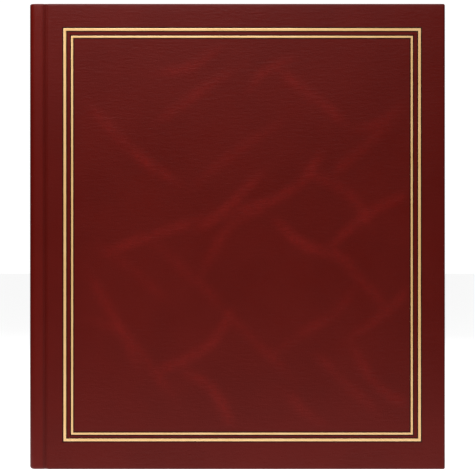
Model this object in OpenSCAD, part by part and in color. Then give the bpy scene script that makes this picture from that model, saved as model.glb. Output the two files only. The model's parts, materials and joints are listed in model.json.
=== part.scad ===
// Post-bound stamp album: a leatherette case on a rigid spine, two hinged padded covers and stock leaves.
// It stands on its tail edge. X runs from the spine to the fore-edge, Y from the front cover to the back
// cover, Z from tail to head. The origin is the middle of the base.

/* [Album] */
// Width over the spine and the fore-edge
album_w = 290; // [235:1:360]
// Height from tail to head
album_h = 325; // [270:1:400]
// Thickness over the two covers
album_t = 50; // [40:1:70]

/* [Case] */
// Thickness of the leatherette
skin_t = 0.6; // [0.4:0.1:1]
// Foam under the leatherette of each cover
padding_t = 1.2; // [0.6:0.1:2.5]
// Greyboard in each cover
board_t = 2.5; // [1.5:0.1:4]
// Paper that lines each cover and the spine
lining_t = 0.3; // [0.2:0.1:0.6]
// Width of the leatherette turned in round each cover
turn_in_w = 16; // [10:1:30]
// Distance from a cover's edge to its lining
lining_inset = 5; // [2:1:9]
// Rounding of the case's edges
edge_r = 1.3; // [0.6:0.1:1.4]
// Rounding of the covers' corners
corner_r = 1.6; // [1.4:0.1:6]

/* [Spine] */
// From the spine's flat face to the covers, over the shoulder and the groove
shoulder_w = 11.7; // [9:0.1:18]
// Rounding between the spine's flat face and its shoulders
spine_r = 4.5; // [2:0.1:8]
// Wall of the spine core behind its flat face
spine_wall = 3; // [2.4:0.1:5]
// Width of each hinge groove
groove_w = 2.3; // [1.6:0.1:4]
// Depth of each hinge groove below the leatherette
groove_depth = 0.9; // [0.4:0.1:2]

/* [Gilding] */
// Width of the outer gold line
outer_line_w = 2; // [0.8:0.1:4]
// Width of the inner gold line
inner_line_w = 1.5; // [0.6:0.1:3]
// Outer gold line to the fore-edge, centre of the line
line_fore = 17.8; // [10:0.1:40]
// Outer gold line to the head
line_head = 18; // [10:0.1:40]
// Outer gold line to the tail
line_tail = 20.5; // [10:0.1:40]
// Outer gold line to the cover's hinge edge
line_hinge = 12.9; // [8:0.1:40]
// Between the centres of the two gold lines, at the hinge side and the head
line_step = 5.1; // [4:0.1:10]
// Between the centres of the two gold lines, at the fore-edge
line_step_fore = 5.4; // [4:0.1:10]
// Between the centres of the two gold lines, at the tail
line_step_tail = 4.4; // [4:0.1:10]
// Depth to which the gold lines are pressed in
deboss = 0.25; // [0.2:0.05:0.35]
// Thickness of the gold foil
foil_t = 0.12; // [0.05:0.01:0.2]

/* [Binding] */
// Wall of the two binding rails
rail_t = 2; // [1.8:0.1:3]
// Width of a rail's flange, under the cover
rail_w = 22; // [21:1:30]
// Width of a rail's web, along the spine
web_w = 15; // [11:1:16]
// Height between neighbouring posts
post_pitch = 80; // [50:1:80]
// Radius of a post barrel
barrel_r = 2.9; // [2.2:0.1:3.5]
// Radius of the heads of the posts
head_r = 5.5; // [4.5:0.1:6.5]
// Thickness of the heads of the posts
head_t = 1.1; // [0.8:0.1:1.2]
// Radius of the post screws
screw_r = 1.5; // [1.2:0.1:1.8]
// Length of the post screws below the head
screw_l = 22; // [10:1:24]
// Radius of the rivets that hold the rails
rivet_r = 1.5; // [1:0.1:2]

/* [Leaves] */
// Room that each leaf takes in the binding
leaf_room = 1.25; // [1.2:0.05:2]
// Leaf edges to the cover edges at head, tail and fore-edge
leaf_square = 6; // [4:1:12]
// Thickness of a stock leaf's card
card_t = 0.6; // [0.4:0.1:0.7]
// Thickness of the flyleaf
flyleaf_t = 0.4; // [0.2:0.1:0.6]
// Thickness of a glassine interleaf
glassine_t = 0.15; // [0.1:0.05:0.2]
// Thickness of a clear strip
strip_t = 0.12; // [0.08:0.01:0.15]
// Height of a clear strip
strip_h = 36; // [20:1:40]
// Clear strips on each side of a stock leaf
strip_count = 6; // [4:1:6]
// Length of bound margin between the guards and the first leaf's fold
fold_run = 6; // [5:0.5:12]
// How much further out each leaf folds than the one before it
fold_step = 2.5; // [2.5:0.1:4]

/* [Hidden] */
$fn = 64;

oxblood = [0.36, 0.11, 0.10];
gold = [0.87, 0.70, 0.42];
greyboard = [0.55, 0.52, 0.47];
foam = [0.86, 0.84, 0.78];
cream = [0.93, 0.89, 0.79];
black_card = [0.08, 0.08, 0.09];
clear_film = [0.80, 0.85, 0.88];
glassine = [0.90, 0.90, 0.86];
steel = [0.70, 0.70, 0.72];
brass = [0.78, 0.62, 0.32];

// Clearances
filler_gap = 0.3;      // round the filler card, inside the turn-ins
cover_rail_gap = 0.3;  // between a closed cover and its rail
strip_gap = 0.15;      // between a joint strip and the cover that swings past it
lining_gap = 0.2;      // beside the spine lining
rivet_fit = 0.05;      // round a rivet, radial
barrel_fit = 0.1;      // round a post barrel in its rails, radial
screw_fit = 0.05;      // round a post screw in its barrel, radial
head_fit = 0.2;        // round a post's head in its counterbore, radial
head_sink = 0.2;       // how far a post's head lies below its rail
hole_fit = 0.2;        // round a post barrel in a leaf, radial
rivet_leaf_gap = 0.5;  // between the rivets' tails and the leaves
guard_over = 1;        // how far the guards reach past the rails
fold_gap = 1;          // on each side of a leaf's fold line
eps = 1;               // how far a cutter runs past what it cuts

// The layers of a cover, as depths below its outer face
padding_d = skin_t;
board_d = padding_d + padding_t;
turn_in_d = board_d + board_t;
lining_d = turn_in_d + skin_t;
cover_t = lining_d + lining_t;

// Stations along X
spine_x = -album_w / 2;
shoulder_x = spine_x + shoulder_w - groove_w;
cover_x = spine_x + shoulder_w;
fore_x = album_w / 2;
core_wall_x = spine_x + skin_t + spine_wall;
rail_x = core_wall_x + lining_t;
rail_end_x = rail_x + rail_w;
rivet_tail_t = 0.8;
rivet_tail_r = 2 * rivet_r;
rivet_head_t = 0.9;
rivet_head_r = 2.6 * rivet_r;
leaf_x = rail_x + rail_t + rivet_tail_t + rivet_leaf_gap;
post_x = (rail_x + rail_t + rail_end_x) / 2 + 1;
guard_end_x = rail_end_x + guard_over;
leaf_fore_x = fore_x - leaf_square;

// Stations along Y, as distances from the middle
face_y = album_t / 2;
shoulder_y = face_y - lining_d;
rail_y = face_y - cover_t - cover_rail_gap;
stack_y = rail_y - rail_t;
rivet_y = rail_y - (web_w + rail_t) / 2;

// Stations along Z
leaf_h = album_h - 2 * leaf_square;
rail_z = leaf_square + 2;
post_zs = [for (i = [-1.5, -0.5, 0.5, 1.5]) album_h / 2 + i * post_pitch];
rivet_zs = [for (i = [-1, 0, 1]) album_h / 2 + i * post_pitch];

// The leaves: each has its own plane, and the first few turn
leaf_count = floor(2 * stack_y / leaf_room);
leaf_pitch = 2 * stack_y / leaf_count;
turning = 6;
strip_x = guard_end_x + fold_run + turning * fold_step + 8;
strip_end_x = leaf_fore_x - 6;
strip_pitch = leaf_h / strip_count;
strip_lift = (strip_pitch - strip_h) / 2;

function leaf_y(k) = -stack_y + (k + 0.5) * leaf_pitch;
function is_stock(k) = k % 2 == 1;
function leaf_t(k) = k == 0 ? flyleaf_t : is_stock(k) ? card_t : glassine_t;
function fold_x(k) = guard_end_x + fold_run + k * fold_step;
// Where leaf k's surface lies on its back, or the rail's face before the first leaf
function back_of(k) = k < 0 ? -stack_y : leaf_y(k) + leaf_t(k) / 2;
function front_of(k) = k >= leaf_count ? stack_y : leaf_y(k) - leaf_t(k) / 2;

// A flat rectangle between two corners with rounded corners
module rounded_rect(low, high, r) {
    translate([low[0] + r, low[1]]) square([high[0] - low[0] - 2 * r, high[1] - low[1]]);
    translate([low[0], low[1] + r]) square([high[0] - low[0], high[1] - low[1] - 2 * r]);
    for (x = [low[0] + r, high[0] - r], y = [low[1] + r, high[1] - r]) translate([x, y]) circle(r);
}

// A box between two corners, given as [x, y, z]
module box(low, high) {
    translate(low) cube(high - low);
}

// A rounded block between two corners: its outline in X and Z has plan_r, its edges have r
module rounded_block(low, high, plan_r, r) {
    intersection() {
        translate([0, high[1], 0]) rotate([90, 0, 0]) linear_extrude(high[1] - low[1])
            rounded_rect([low[0], low[2]], [high[0], high[2]], plan_r);
        translate([0, 0, low[2]]) linear_extrude(high[2] - low[2])
            rounded_rect([low[0], low[1]], [high[0], high[1]], r);
        translate([low[0], 0, 0]) rotate([90, 0, 90]) linear_extrude(high[0] - low[0])
            rounded_rect([low[1], low[2]], [high[1], high[2]], r);
    }
}

// Front cover's outer form, drawn in by inset all round, between two depths below its face
module cover_form(inset, depth) {
    rounded_block([cover_x + inset, -face_y + inset, inset],
        [fore_x - inset, -face_y + depth, album_h - inset],
        corner_r - inset, edge_r - min(inset, edge_r / 2));
}

// A slice of the front cover between two depths, drawn in by inset at its edges
module cover_slice(depth_low, depth_high, inset) {
    box([cover_x + inset, -face_y + depth_low, inset],
        [fore_x - inset, -face_y + depth_high, album_h - inset]);
}

// One gold line's frame, grown by grow on each side of the line
module line_frame(hinge, fore, head, tail, line_w, depth_low, depth_high) {
    half = line_w / 2;
    difference() {
        box([cover_x + hinge - half, -face_y + depth_low, tail - half],
            [fore_x - fore + half, -face_y + depth_high, album_h - head + half]);
        box([cover_x + hinge + half, -face_y + depth_low - eps, tail + half],
            [fore_x - fore - half, -face_y + depth_high + eps, album_h - head - half]);
    }
}

module outer_line(depth_low, depth_high) {
    line_frame(line_hinge, line_fore, line_head, line_tail, outer_line_w, depth_low, depth_high);
}

module inner_line(depth_low, depth_high) {
    line_frame(line_hinge + line_step, line_fore + line_step_fore, line_head + line_step,
        line_tail + line_step_tail, inner_line_w, depth_low, depth_high);
}

module cover_skin(gilded) {
    color(oxblood) difference() {
        cover_form(0, lining_d);
        cover_form(skin_t, turn_in_d);
        cover_slice(turn_in_d - skin_t, lining_d + eps, turn_in_w);
        if (gilded) outer_line(-eps, deboss);
        if (gilded) inner_line(-eps, deboss);
    }
}

module cover_padding() {
    color(foam) intersection() {
        cover_form(skin_t, turn_in_d);
        cover_slice(padding_d, board_d, 0);
    }
}

module cover_board() {
    color(greyboard) intersection() {
        cover_form(skin_t, turn_in_d);
        cover_slice(board_d, turn_in_d, 0);
    }
}

module cover_filler() {
    color(greyboard) cover_slice(turn_in_d, lining_d, turn_in_w + filler_gap);
}

module cover_lining() {
    color(cream) cover_slice(lining_d, cover_t, lining_inset);
}

module gold_outer_frame() {
    color(gold) outer_line(deboss - foil_t, deboss);
}

module gold_inner_frame() {
    color(gold) inner_line(deboss - foil_t, deboss);
}

// The other half of a piece that is alike at the back
module at_back() {
    mirror([0, 1, 0]) children();
}

// The spine's head and tail edges and its outline from the front, drawn in by inset all round
module spine_ends(inset) {
    rounded_block([spine_x + inset, -face_y + inset, inset],
        [shoulder_x + shoulder_w, face_y - inset, album_h - inset],
        corner_r - inset, edge_r - min(inset, edge_r / 2));
}

// Section of the spine across its length, with its two wide corners
module spine_section(inset) {
    wide = spine_r - inset;
    small = edge_r - min(inset, edge_r / 2);
    low = [spine_x + inset, -face_y + inset];
    high = [shoulder_x - inset, face_y - inset];
    translate([low[0] + wide, low[1]]) square([high[0] - low[0] - wide - small, high[1] - low[1]]);
    translate([low[0], low[1] + wide]) square([high[0] - low[0], high[1] - low[1] - 2 * wide]);
    for (side = [-1, 1]) {
        translate([low[0] + wide, side * (high[1] - wide)]) circle(wide);
        translate([high[0] - small, side * (high[1] - small)]) circle(small);
        translate([high[0] - small, side * (high[1] - wide / 2 - small) - wide / 2])
            square([small, wide]);
    }
}

// The spine as a solid block, drawn in by inset
module spine_block(inset) {
    intersection() {
        spine_ends(inset);
        linear_extrude(album_h) spine_section(inset);
    }
}

// The room inside the channel
module channel_room() {
    box([core_wall_x, -shoulder_y, -eps], [shoulder_x + eps, shoulder_y, album_h + eps]);
}

module spine_skin() {
    color(oxblood) difference() {
        spine_block(0);
        spine_block(skin_t);
        channel_room();
        band_bars(-eps, deboss);
    }
}

module spine_core() {
    color(greyboard) difference() {
        spine_block(skin_t);
        channel_room();
        for (side = [-1, 1]) rivet_holes(side);
    }
}

module spine_lining() {
    color(cream) difference() {
        box([core_wall_x, -shoulder_y + lining_gap, rail_z],
            [core_wall_x + lining_t, shoulder_y - lining_gap, album_h - rail_z]);
        for (side = [-1, 1]) rivet_holes(side);
    }
}

// Two pairs of gold lines across the spine's flat face, level with the frame on the cover
module band_bars(depth_low, depth_high) {
    half_y = face_y - spine_r - 1;
    for (z = [line_tail, album_h - line_head]) {
        inward = z < album_h / 2 ? 1 : -1;
        box([spine_x + depth_low, -half_y, z - outer_line_w / 2],
            [spine_x + depth_high, half_y, z + outer_line_w / 2]);
        box([spine_x + depth_low, -half_y, z + inward * line_step - inner_line_w / 2],
            [spine_x + depth_high, half_y, z + inward * line_step + inner_line_w / 2]);
    }
}

module spine_gold_bands() {
    color(gold) band_bars(deboss - foil_t, deboss);
}

module joint_strip() {
    color(oxblood) box([shoulder_x, -face_y + groove_depth, skin_t],
        [cover_x - strip_gap, -face_y + groove_depth + skin_t, album_h - skin_t]);
}

// A cylinder along X between two stations
module along_x(x_low, x_high, y, z, r) {
    translate([x_low, y, z]) rotate([0, 90, 0]) cylinder(h = x_high - x_low, r = r);
}

// A cylinder along Y between two stations
module along_y(y_low, y_high, x, z, r) {
    translate([x, y_high, z]) rotate([90, 0, 0]) cylinder(h = y_high - y_low, r = r);
}

module rivet_holes(side) {
    for (z = rivet_zs) {
        along_x(spine_x, rail_x + rail_t + eps, side * rivet_y, z, rivet_r + rivet_fit);
        along_x(spine_x, spine_x + skin_t + rivet_head_t, side * rivet_y, z,
            rivet_head_r + rivet_fit);
    }
}

module rail_rivets() {
    color(steel) for (side = [-1, 1], z = rivet_zs) {
        along_x(spine_x + skin_t, spine_x + skin_t + rivet_head_t, side * rivet_y, z, rivet_head_r);
        along_x(spine_x + skin_t, rail_x + rail_t, side * rivet_y, z, rivet_r);
        along_x(rail_x + rail_t, rail_x + rail_t + rivet_tail_t, side * rivet_y, z, rivet_tail_r);
    }
}

// The rail behind the front cover: a web on the spine and a flange under the cover
module binding_rail() {
    color(steel) difference() {
        union() {
            box([rail_x, -rail_y, rail_z], [rail_end_x, -rail_y + rail_t, album_h - rail_z]);
            box([rail_x, -rail_y, rail_z],
                [rail_x + rail_t, -rail_y + web_w, album_h - rail_z]);
        }
        rivet_holes(-1);
        for (z = post_zs) {
            along_y(-rail_y - eps, -stack_y + eps, post_x, z, barrel_r + barrel_fit);
            along_y(-rail_y - eps, -rail_y + head_t + head_sink, post_x, z, head_r + head_fit);
        }
    }
}

module post_barrels() {
    head_low = rail_y - head_sink - head_t;
    color(brass) for (z = post_zs) difference() {
        union() {
            along_y(-rail_y + head_sink + head_t + screw_fit, head_low, post_x, z, barrel_r);
            along_y(head_low, head_low + head_t, post_x, z, head_r);
        }
        along_y(-rail_y, head_low - head_t, post_x, z, screw_r + screw_fit);
    }
}

module post_screws() {
    head_low = -rail_y + head_sink;
    slot_w = 1.2;
    slot_d = 0.6;
    color(brass) for (z = post_zs) difference() {
        union() {
            along_y(head_low, head_low + head_t, post_x, z, head_r);
            along_y(head_low + head_t, head_low + head_t + screw_l, post_x, z, screw_r);
        }
        box([post_x - head_r - eps, head_low - eps, z - slot_w / 2],
            [post_x + head_r + eps, head_low + slot_d, z + slot_w / 2]);
    }
}

// A sheet in the stack with its four post holes
module bound_sheet(x_end, y_low, y_high) {
    difference() {
        box([leaf_x, y_low, leaf_square], [x_end, y_high, album_h - leaf_square]);
        for (z = post_zs) along_y(y_low - eps, y_high + eps, post_x, z, barrel_r + hole_fit);
    }
}

module margin_guards() {
    color(black_card) for (k = [0 : leaf_count]) bound_sheet(guard_end_x, back_of(k - 1), front_of(k));
}

module turning_leaf_margins() {
    color(black_card) for (k = [0 : turning - 1])
        bound_sheet(fold_x(k) - fold_gap, front_of(k), back_of(k));
}

module block_stock_leaves() {
    color(black_card) for (k = [turning : leaf_count - 1])
        if (is_stock(k)) bound_sheet(leaf_fore_x, front_of(k), back_of(k));
}

module block_interleaves() {
    color(glassine) for (k = [turning : leaf_count - 1])
        if (!is_stock(k)) bound_sheet(leaf_fore_x, front_of(k), back_of(k));
}

// The part of leaf k that turns about its fold
module turning_leaf(k) {
    box([fold_x(k) + fold_gap, front_of(k), leaf_square],
        [leaf_fore_x, back_of(k), album_h - leaf_square]);
}

// Clear strips on both sides of stock leaf k
module leaf_strips(k) {
    color(clear_film) for (i = [0 : strip_count - 1], y = [front_of(k) - strip_t, back_of(k)])
        box([strip_x, y, leaf_square + i * strip_pitch + strip_lift],
            [strip_end_x, y + strip_t, leaf_square + i * strip_pitch + strip_lift + strip_h]);
}

module block_leaf_strips() {
    for (k = [turning : leaf_count - 1]) if (is_stock(k)) leaf_strips(k);
}

spine_core();
spine_skin();
spine_lining();
spine_gold_bands();
joint_strip();  // front_joint_strip
at_back() joint_strip();  // back_joint_strip
binding_rail();  // front_binding_rail
at_back() binding_rail();  // back_binding_rail
rail_rivets();
post_barrels();
post_screws();
margin_guards();
turning_leaf_margins();
block_stock_leaves();
block_leaf_strips();
block_interleaves();
cover_skin(true);  // front_cover_skin
cover_padding();  // front_cover_padding
cover_board();  // front_cover_board
cover_filler();  // front_cover_filler
cover_lining();  // front_cover_lining
gold_outer_frame();
gold_inner_frame();
at_back() cover_skin(false);  // back_cover_skin
at_back() cover_padding();  // back_cover_padding
at_back() cover_board();  // back_cover_board
at_back() cover_filler();  // back_cover_filler
at_back() cover_lining();  // back_cover_lining
color(cream) turning_leaf(0);  // flyleaf
color(black_card) turning_leaf(1);  // stock_leaf_1
leaf_strips(1);  // stock_leaf_1_strips
color(glassine) turning_leaf(2);  // interleaf_1
color(black_card) turning_leaf(3);  // stock_leaf_2
leaf_strips(3);  // stock_leaf_2_strips
color(glassine) turning_leaf(4);  // interleaf_2
color(black_card) turning_leaf(5);  // stock_leaf_3
leaf_strips(5);  // stock_leaf_3_strips
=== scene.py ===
"""Skins, leaves, gilding and finishes for a post-bound stamp album, built round its fixed CAD frame."""

import json
import math
import random

import bmesh
import bpy
import numpy as np
from mathutils import Matrix, Vector


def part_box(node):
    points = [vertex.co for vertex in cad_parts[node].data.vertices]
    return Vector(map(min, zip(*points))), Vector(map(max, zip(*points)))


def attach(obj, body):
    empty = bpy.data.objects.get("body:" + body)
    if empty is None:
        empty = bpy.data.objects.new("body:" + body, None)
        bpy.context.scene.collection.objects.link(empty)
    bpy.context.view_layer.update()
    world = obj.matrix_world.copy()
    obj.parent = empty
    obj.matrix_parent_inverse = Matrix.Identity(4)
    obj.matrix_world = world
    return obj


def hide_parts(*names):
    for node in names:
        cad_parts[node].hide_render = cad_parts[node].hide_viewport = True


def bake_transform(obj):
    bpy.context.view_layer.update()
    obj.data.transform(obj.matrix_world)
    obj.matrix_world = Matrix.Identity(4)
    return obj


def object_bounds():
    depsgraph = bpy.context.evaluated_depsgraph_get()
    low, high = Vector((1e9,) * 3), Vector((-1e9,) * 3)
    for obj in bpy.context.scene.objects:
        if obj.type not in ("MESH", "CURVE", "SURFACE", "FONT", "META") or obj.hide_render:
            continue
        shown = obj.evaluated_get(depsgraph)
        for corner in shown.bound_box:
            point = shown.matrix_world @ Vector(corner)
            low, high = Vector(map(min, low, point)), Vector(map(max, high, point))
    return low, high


bl_info = {
    "name": "Stamp Album",
    "version": (1, 0, 0),
    "blender": (4, 5, 0),
    "location": "3D View > Sidebar > Stamp Album",
    "description": "Builds the leatherette case, gilt frames, leaves and finishes of a stamp album",
    "category": "Object",
}

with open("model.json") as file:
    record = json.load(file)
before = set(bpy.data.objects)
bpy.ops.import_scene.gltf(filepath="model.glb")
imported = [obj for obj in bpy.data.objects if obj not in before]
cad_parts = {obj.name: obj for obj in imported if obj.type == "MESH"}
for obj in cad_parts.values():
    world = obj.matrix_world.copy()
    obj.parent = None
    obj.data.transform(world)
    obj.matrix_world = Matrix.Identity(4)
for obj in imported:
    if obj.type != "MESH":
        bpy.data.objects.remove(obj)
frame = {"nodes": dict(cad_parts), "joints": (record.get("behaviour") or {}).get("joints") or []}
CAD_LOW, CAD_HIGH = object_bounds()

MM = 0.001
LAID_SPACING = 1.1 * MM  # between the close lines of laid paper
LINE_SHOULDER = 0.14 * MM  # half the width of the slope into a pressed line
LIP = 0.65 * MM  # rounding of the shoulder's lip, inside the hinge groove
SUNK = 0.06 * MM  # how far a clear strip's hidden back lies inside the card, so their faces never meet
CREASE_GAP = 25 * MM  # least distance between the middles of two creases
CREASE_LENGTHS = (46, 98)  # shortest and longest crease, in millimetres
CREASE_FALL, CREASE_RISE, CREASE_SPREAD = -46, 36, 9  # the two slants and their spread, in degrees
CREASE_TRIES = 4000  # places tried before the creases are taken to be as many as fit
CREASE_RIM = 2 * MM  # bare rim between the creases and the inner line
CREASE_FADE = 6 * MM  # width over which the creases fade in from that rim
SINK_REACH = 6 * MM  # how far from the edge the padding starts to sink
FINE, COARSE = 3.2 * MM, 9 * MM  # steps of the creased skin, and of a plain skin or a pad
BEND_PARTS, BEND_INSIDE = 18, 0.2  # steps of a leaf's bend, and the share of it behind the fold
POST_ROOM = 0.1 * MM  # round a post in a leaf's hole
BLOCK_STRAY = (0.35 * MM, 0.04 * MM, 0.25 * MM)  # how far a leaf in the block strays from its place
BLOCK_ROOM = 0.4 * MM, 0.3 * MM  # kept free for that at the fore-edge and holes, and at head and tail
GLASSINE = (0.80, 0.79, 0.72)  # colour of the glassine interleaves
FLOOR_HALF = 9.0  # half the floor's side, in metres
FLOOR_GAP = 0.2 * MM  # between the object's foot and the floor
FLOOR_NEAR, FLOOR_FAR = 0.2, 0.55  # where the floor's bounce starts and ends its fade, in metres
GOLD_LINES = ("gold_outer_frame", "gold_inner_frame")
# The turn of a skin over its head and tail: how far up, and how far set back, by radius
END_TURNS = [
    (1 - math.cos(angle), 1 - math.sin(angle)) for angle in (math.radians(15 * k) for k in range(7))
]
TURNING = ("flyleaf", "stock_leaf_1", "interleaf_1", "stock_leaf_2", "interleaf_2", "stock_leaf_3")
JOINTS = {joint["child"]: joint for joint in frame["joints"]}


def metres(name, description, default, low=0.0, high=1.0):
    """A length property in metres."""
    return bpy.props.FloatProperty(
        name=name, description=description, default=default, min=low, max=high,
        subtype="DISTANCE", unit="LENGTH", precision=5,
    )


def colour(name, description, default):
    """A linear colour property."""
    return bpy.props.FloatVectorProperty(
        name=name, description=description, default=default, size=3, min=0, max=1, subtype="COLOR"
    )


def share(name, description, default, high=1.0):
    """A plain number from 0 to high."""
    return bpy.props.FloatProperty(name=name, description=description, default=default, min=0, max=high)


class CaseSettings(bpy.types.PropertyGroup):
    """Sizes and colours of the leatherette case."""

    red: colour("Leatherette", "Ground colour of the leatherette", (0.108, 0.0035, 0.0012))
    # Partly painted sheen: the lighter red of the crease streaks stands in for the sheen on their wrinkles,
    # and partly gives the skin's two-tone rubbed look
    streak_tone_and_sheen: colour("Streaks", "Brighter red of the streaks in the framed field", (0.158, 0.0055, 0.0030))
    roughness: share("Roughness", "Roughness of the leatherette", 0.42)
    # Painted light: how much lighter the spine is drawn than the covers, standing in for the sheen on its
    # shoulder, not a stretched skin
    spine_painted_light: share("Spine Painted Light", "How much lighter the stretched skin of the spine is", 1.12, 2.0)
    edge: metres("Edge rounding", "Radius of the covers' edges over the foam", 1.25 * MM)
    sink: metres("Edge sink", "How far the padding sinks towards the edges", 0.12 * MM)
    grain: metres("Grain", "Height of the leatherette's grain", 0.13 * MM)
    # Painted shade: width of the near-black band drawn beside each pressed line, standing in for the shadow
    # of its groove
    groove_shade_width: metres("Painted Groove Shade", "Width of the darkened edge beside a pressed line", 0.9 * MM)
    crease: metres("Creases", "How far the soft creases stand up", 0.04 * MM)
    crease_width: metres("Crease width", "Half the width of a crease", 6.5 * MM)
    creases: bpy.props.IntProperty(name="Crease count", description="How many creases", default=28, min=0)
    seed: bpy.props.IntProperty(name="Seed", description="Seed of the creases", default=70, min=0)
    shoulder: metres("Shoulder", "Width over which the spine falls into the groove", 2.8 * MM)
    shoulder_fall: metres("Shoulder fall", "How far the spine falls towards the groove", 0.3 * MM)
    spine_round: metres("Spine rounding", "Rounding of the spine's outer corners", 4.5 * MM)
    head_round: metres("Head rounding", "Rounding of the spine's head", 1.2 * MM)
    tail_round: metres("Tail rounding", "Rounding of the spine's tail", 2.1 * MM)
    groove: metres("Groove depth", "Depth of the hinge grooves", 1.0 * MM)


class GiltSettings(bpy.types.PropertyGroup):
    """Looks of the gold lines."""

    gold: colour("Foil", "Colour of the gold foil", (1.0, 0.62, 0.265))
    crown: metres("Crown", "How far a line's middle stands above its edges", 0.16 * MM)
    roughness: share("Roughness", "Roughness of the foil", 0.3)
    trim: share("Trim", "Share of a line's groove that the foil fills", 0.93)


class LeafSettings(bpy.types.PropertyGroup):
    """Sizes and colours of the leaves."""

    corner: metres("Corner", "Rounding of the leaves' outer corners", 4 * MM)
    bend: metres("Bend", "Width over which a turning leaf bends", 12 * MM)
    wave: metres("Wave", "How far a leaf strays from flat", 0.12 * MM)
    weld: metres("Weld", "Width of the weld at the foot of a clear strip", 1.6 * MM)
    cream: colour("Cream card", "Colour of the flyleaf and the linings", (0.80, 0.72, 0.55))
    black: colour("Black card", "Colour of the stock leaves", (0.017, 0.017, 0.019))


class StageSettings(bpy.types.PropertyGroup):
    """Camera and light."""

    lens: share("Lens", "Focal length in millimetres", 180.0, 500.0)
    view_width: metres("View width", "Width that the view takes in at the front cover", 0.33155, 0.1, 2.0)
    surround: share("Surround", "Brightness of the dim surroundings that light the object", 0.04)
    floor_glow: share("Floor glow", "Light added to the floor as the camera sees it", 0.9)
    floor_bounce: share("Floor bounce", "How much light the floor throws back near the object", 1.35, 20.0)
    head_power: share("Head softbox", "Power of the softbox above the front, in watts", 4.2, 500.0)
    overhead_power: share("Overhead softbox", "Power of the softbox above, in watts", 6.5, 500.0)
    back_power: share("Back softbox", "Power of the softbox behind, in watts", 6.0, 500.0)
    shift_right: metres("Shift right", "How far the camera stands right of the middle", 0.14 * MM)
    shift_down: metres("Shift down", "How far the camera stands below the middle", 0.69 * MM)


# ---------------------------------------------------------------- shader helpers


class Nodes:
    """Shorthand for building a node tree."""

    def __init__(self, tree):
        self.tree = tree
        tree.nodes.clear()

    def add(self, kind, **settings):
        node = self.tree.nodes.new(kind)
        for key, value in settings.items():
            setattr(node, key, value)
        return node

    def put(self, socket, value):
        """Links a socket into another, or sets its constant."""
        if isinstance(value, bpy.types.NodeSocket):
            self.tree.links.new(value, socket)
        else:
            socket.default_value = value

    def made(self, kind, sockets, **settings):
        """A node with its sockets set by name."""
        node = self.add(kind, **settings)
        for name, value in sockets.items():
            self.put(node.inputs[name], value)
        return node

    def math(self, operation, a, b=0.0):
        node = self.add("ShaderNodeMath", operation=operation)
        self.put(node.inputs[0], a)
        self.put(node.inputs[1], b)
        return node.outputs[0]

    def plus(self, base, value, share):
        """The base with a share of the value added."""
        return self.math("ADD", base, self.math("MULTIPLY", value, share))

    def vector(self, operation, a, b):
        node = self.add("ShaderNodeVectorMath", operation=operation)
        self.put(node.inputs[0], a)
        self.put(node.inputs[1], b)
        return node.outputs["Vector"]

    def smooth(self, value, low, high):
        """0 below low, 1 above high and a smooth step between."""
        sockets = {"Value": value, "From Min": low, "From Max": high}
        return self.made("ShaderNodeMapRange", sockets, interpolation_type="SMOOTHSTEP").outputs["Result"]

    def mapped(self, vector, scale):
        return self.made("ShaderNodeMapping", {"Vector": vector, "Scale": scale}).outputs["Vector"]

    def noise(self, vector, scale, detail=2.0, roughness=0.5, distortion=0.0):
        sockets = {"Vector": vector, "Scale": scale, "Detail": detail, "Roughness": roughness,
                   "Distortion": distortion}
        return self.made("ShaderNodeTexNoise", sockets).outputs["Fac"]

    def cells(self, vector, scale, feature="F1", smoothness=None):
        node = self.made("ShaderNodeTexVoronoi", {"Vector": vector, "Scale": scale}, feature=feature)
        if smoothness is not None:
            node.inputs["Smoothness"].default_value = smoothness
        return node.outputs["Distance"]

    def mix(self, factor, a, b):
        node = self.add("ShaderNodeMix", data_type="RGBA")
        self.put(node.inputs["Factor"], factor)
        for socket, value in ((node.inputs["A"], a), (node.inputs["B"], b)):
            self.put(socket, (*value, 1) if isinstance(value, tuple) and len(value) == 3 else value)
        return node.outputs["Result"]

    def split(self, vector):
        node = self.add("ShaderNodeSeparateXYZ")
        self.put(node.inputs[0], vector)
        return node.outputs

    def join(self, x, y, z):
        node = self.add("ShaderNodeCombineXYZ")
        for socket, value in zip(node.inputs, (x, y, z)):
            self.put(socket, value)
        return node.outputs[0]

    def bump(self, height, distance, strength=1.0):
        sockets = {"Strength": strength, "Distance": distance, "Height": height}
        return self.made("ShaderNodeBump", sockets).outputs["Normal"]

    def place(self, rides_on_bend=False):
        """Where a point lies on its piece at rest, from its own coordinates or its stored attribute."""
        if rides_on_bend:
            return self.add("ShaderNodeAttribute", attribute_name="rest_place").outputs["Vector"]
        return self.add("ShaderNodeTexCoord").outputs["Object"]

    def use(self, group, **values):
        """Places a node group and sets its inputs by name."""
        node = self.add("ShaderNodeGroup")
        node.node_tree = group
        for name, value in values.items():
            self.put(node.inputs[name.replace("_", " ")], value)
        return node.outputs

    def glow(self, strength):
        return self.made("ShaderNodeEmission", {"Strength": strength}).outputs[0]

    def by_camera(self, seen, unseen):
        """One shader where the camera looks, and another for all other light."""
        choice = self.add("ShaderNodeMixShader")
        camera = self.add("ShaderNodeLightPath").outputs["Is Camera Ray"]
        for socket, value in zip(choice.inputs, (camera, unseen, seen)):
            self.put(socket, value)
        return choice.outputs[0]

    def finish(self, shader, kind="ShaderNodeOutputMaterial"):
        self.tree.links.new(shader, self.add(kind).inputs["Surface"])

    def surface(self, **values):
        """A Principled shader with its sockets set by name, and the material's output."""
        node = self.add("ShaderNodeBsdfPrincipled")
        for name, value in values.items():
            self.put(node.inputs[name.replace("_", " ")], value)
        self.finish(node.outputs[0])
        return node


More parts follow.
